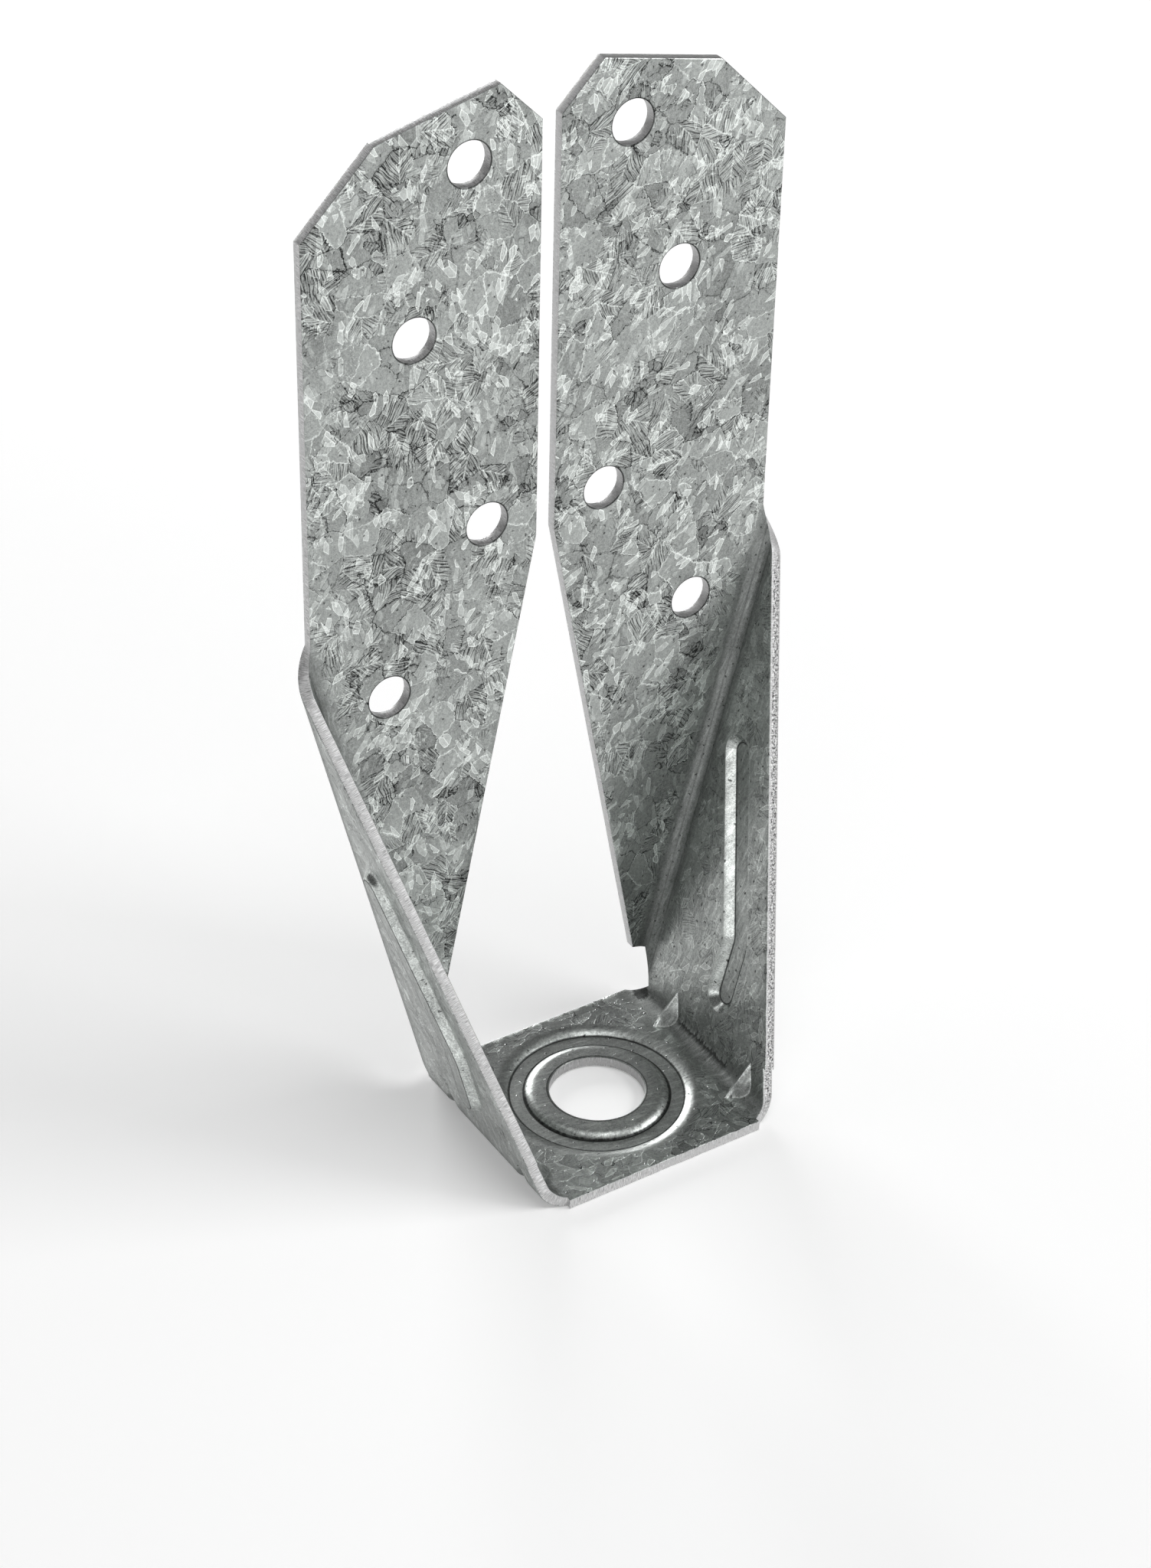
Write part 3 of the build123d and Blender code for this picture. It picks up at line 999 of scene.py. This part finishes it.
    # Painted shade darkens the galled strip, and a painted highlight lights its wall side
    galled_strip_highlight = strip * aside.above(-0.1, 0.3) * gall.above(0.44, 0.12)
    region = region * (1 - strip * 0.60) + galled_strip_highlight * 0.85
    da, db = across_mm - (WALL_A - 2.2), b_mm - 17.0
    dent = (da * da + db * db + (speck - 0.5) * 6.0).below(3.2, 1.6) * inner
    region = region * (1 - dent * 0.75)
    region = (region * (1 - rim * 0.8)).most(0.08)
    feathers = needle_rim.most(0) * flat * n.mask("wall") * (1 - plate) * inner
    tone = tone * region + feathers * 0.10
    tone = tone.most(0.02).least(0.95)
    base = n.grey(tone, settings.zinc_colour[:3])
    roughness = 0.31 + (0.5 - tone) * 0.10 + (grain - 0.5) * 0.12
    roughness = roughness + pressed * 0.04 + fold * 0.10 + crease * 0.08 - bead_slope_rub_and_highlight * 0.10
    crystals = level * 0.5 + ferns * fern_on * 0.2 + level_s * small_on * 0.4 + needles * 0.4
    height_map = crystals * rich + grain * 0.3 + speck * 0.3 - pit * 1.5
    return n.finish(base, roughness, height_map, metallic=0.95)


def shear_material(settings):
    """Cut edges: one tone with shear marks, a torn band on the right-hand half, painted shade in the
    bores and a painted shade line along one face of each wall's edge.
    """
    n = Nodes("sheared_edge")
    edge, blank = n.uv("Edge"), n.uv("Blank")
    x, y, _ = n.parts(blank)
    _, depth, _ = n.parts(edge)
    marks = n.noise(n.stretched(edge, (1150.0, 80.0, 1.0)), 1.0, 2.0, 0.6)
    grain = n.noise(edge, 260.0, 2.0, 0.7)
    patch = n.noise(edge, 60.0, 3.0, 0.6)
    plate = n.mask("plate").most(n.mask("crease"))
    wall = n.mask("wall") * (1 - plate)
    right = x.above(0.0, 0.01)
    deep = depth * MM_PER_UV
    torn = deep.above(0.42 + (patch - 0.5) * 0.4, 0.12) * deep.below(1.62, 0.15) * right
    # Painted shade: a dark line along the inner face of the right wall's cut edge and the outer face
    # of the left wall's, both on the faces turned towards -X
    outline = deep.below(0.10, 0.05) * right + deep.above(1.78, 0.05) * (1 - right)
    burnished = (marks - 0.5) * (1.5 - torn * 0.9)
    tone = CUT_TONE + burnished + torn * wall * ((grain - 0.5) * 3.0 - 0.12)
    tone = tone + (grain - 0.5) * 0.35 * (1 - wall)
    tone = tone * (1 - outline * wall * 0.7)
    # Painted shade: the walls of the middle hole and the screw holes are darker
    bore = (((x * x + y * y) ** 0.5) * MM_PER_UV).below(HOLE_R + 0.65, 0.2)
    for distance in n.from_screw_holes(x, y):
        bore = distance.below(SCREW_R + 0.4, 0.1) + bore
    tone = tone * (1 - bore.least(1) * 0.25)
    tone = tone.most(0.02).least(0.98)
    base = n.grey(tone, settings.cut_colour[:3])
    roughness = 0.42 + (grain - 0.5) * 0.2
    return n.finish(base, roughness, marks + grain * 0.6, metallic=0.9)


class TieSettings(bpy.types.PropertyGroup):
    """Sizes and colours of the tie."""

    edge_rounding: bpy.props.FloatProperty(
        name="Edge rounding",
        description="Radius of the rounding along every cut edge",
        default=0.00018,
        min=0.00002,
        max=0.0006,
        unit="LENGTH",
        subtype="DISTANCE",
    )
    zinc_colour: bpy.props.FloatVectorProperty(
        name="Zinc",
        description="Tint of the zinc coating",
        default=(0.955, 1.0, 0.97, 1.0),
        size=4,
        min=0,
        max=1,
        subtype="COLOR",
    )
    cut_colour: bpy.props.FloatVectorProperty(
        name="Cut edge",
        description="Tint of the sheared steel",
        default=(1.0, 1.0, 1.0, 1.0),
        size=4,
        min=0,
        max=1,
        subtype="COLOR",
    )


class StageSettings(bpy.types.PropertyGroup):
    """Floor, light and camera."""

    floor_size: bpy.props.FloatProperty(
        name="Floor",
        description="Width of the floor",
        default=4.0,
        unit="LENGTH",
        subtype="DISTANCE",
    )
    floor_colour: bpy.props.FloatVectorProperty(
        name="Floor colour",
        description="Colour of the floor",
        default=(0.85, 0.85, 0.85, 1.0),
        size=4,
        min=0,
        max=1,
        subtype="COLOR",
    )
    floor_glow: bpy.props.FloatProperty(
        name="Floor glow",
        description="Light added to the floor as the camera and the metal see it",
        default=0.25,
        min=0,
        max=1,
        subtype="FACTOR",
    )
    lens: bpy.props.FloatProperty(
        name="Lens",
        description="Focal length of the camera on a 36 mm sensor",
        default=81.48,
        subtype="DISTANCE_CAMERA",
    )


class TIE_OT_sheet(bpy.types.Operator):
    """Build the folded galvanised sheet"""

    bl_idname = "tension_tie.sheet"
    bl_label = "Folded sheet"

    def execute(self, context):
        settings = context.scene.tension_tie
        tie = build_sheet(settings.edge_rounding / MM)
        tie.data.materials.append(zinc_material(settings))
        tie.data.materials.append(shear_material(settings))
        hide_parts(NODE)
        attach(tie, BODY)
        return {"FINISHED"}


class TIE_OT_stage(bpy.types.Operator):
    """Build the floor, the lamps and the camera"""

    bl_idname = "tension_tie.stage"
    bl_label = "Stage"

    def execute(self, context):
        settings = context.scene.tension_tie_stage
        scene = context.scene
        scene.view_settings.view_transform = "Standard"
        bpy.ops.mesh.primitive_plane_add(size=settings.floor_size, location=(0, 0, 0))
        floor = context.active_object
        floor.name = "floor"
        floor.data.materials.append(floor_material(settings))
        world = bpy.data.worlds.new("studio")
        scene.world = world
        world.use_nodes = True
        tree = world.node_tree
        tree.nodes.clear()
        background = tree.nodes.new("ShaderNodeBackground")
        background.inputs["Color"].default_value = (1, 1, 1, 1)
        background.inputs["Strength"].default_value = WORLD_STRENGTH
        out = tree.nodes.new("ShaderNodeOutputWorld")
        tree.links.new(background.outputs[0], out.inputs[0])
        for name, azimuth, elevation, size, power in LAMPS:
            lamp = bpy.data.lights.new(name, "AREA")
            lamp.shape = "RECTANGLE"
            lamp.size, lamp.size_y = size
            lamp.energy = power
            holder = bpy.data.objects.new(name, lamp)
            scene.collection.objects.link(holder)
            away = direction(math.radians(azimuth), math.radians(elevation))
            holder.location = LAMP_TARGET + away * LAMP_DISTANCE
            holder.rotation_euler = (-away).to_track_quat("-Z", "Y").to_euler()
        camera = bpy.data.cameras.new("camera")
        camera.lens = settings.lens
        camera.sensor_width = SENSOR_WIDTH
        camera.sensor_fit = "AUTO"
        camera.clip_start = 0.01
        eye = bpy.data.objects.new("camera", camera)
        scene.collection.objects.link(eye)
        eye.matrix_world = camera_matrix()
        scene.camera = eye
        return {"FINISHED"}


def direction(azimuth, elevation):
    """Unit vector towards a lamp or the camera, with azimuth counted from the open front."""
    return Vector((
        math.sin(azimuth) * math.cos(elevation),
        -math.cos(azimuth) * math.cos(elevation),
        math.sin(elevation),
    ))


def camera_matrix():
    """Camera's place and turn, from its azimuth, elevation and roll."""
    azimuth, elevation, roll = (math.radians(v) for v in CAMERA_TURN)
    back = direction(azimuth, elevation)
    right = (-back).cross(Vector((0, 0, 1))).normalized()
    up = right.cross(-back)
    turned = right * math.cos(roll) + up * math.sin(roll)
    upright = up * math.cos(roll) - right * math.sin(roll)
    matrix = Matrix((turned, upright, back)).transposed().to_4x4()
    matrix.translation = CAMERA_PLACE
    return matrix


def floor_material(settings):
    """Pale floor that shows as white to the camera and in the metal, and keeps the shadow."""
    n = Nodes("floor")
    diffuse = n.add("ShaderNodeBsdfDiffuse", {}, {"Color": settings.floor_colour[:]})
    rays = n.add("ShaderNodeLightPath", output="Is Camera Ray")
    seen = rays.most(rays.out("Is Glossy Ray")).most(rays.out("Is Transmission Ray"))
    glow = n.add("ShaderNodeEmission", {}, {"Strength": seen * settings.floor_glow})
    both = n.add("ShaderNodeAddShader", {}, [diffuse, glow])
    n.add("ShaderNodeOutputMaterial", {}, {"Surface": both})
    return n.material


class TIE_PT_panel(bpy.types.Panel):
    """Sidebar panel of the tie"""

    bl_idname = "TIE_PT_panel"
    bl_label = "Tension tie"
    bl_space_type = "VIEW_3D"
    bl_region_type = "UI"
    bl_category = "Tension tie"

    def draw(self, context):
        for group in (context.scene.tension_tie, context.scene.tension_tie_stage):
            for name in group.__annotations__:
                self.layout.prop(group, name)
        for operator in OPERATORS:
            self.layout.operator(operator.bl_idname)


OPERATORS = (TIE_OT_sheet, TIE_OT_stage)
CLASSES = (TieSettings, StageSettings, *OPERATORS, TIE_PT_panel)


def register():
    for cls in CLASSES:
        bpy.utils.register_class(cls)
    bpy.types.Scene.tension_tie = bpy.props.PointerProperty(type=TieSettings)
    bpy.types.Scene.tension_tie_stage = bpy.props.PointerProperty(type=StageSettings)


def unregister():
    del bpy.types.Scene.tension_tie_stage
    del bpy.types.Scene.tension_tie
    for cls in reversed(CLASSES):
        bpy.utils.unregister_class(cls)


def main():
    register()
    bpy.ops.tension_tie.sheet()
    bpy.ops.tension_tie.stage()


if __name__ == "__main__":
    main()
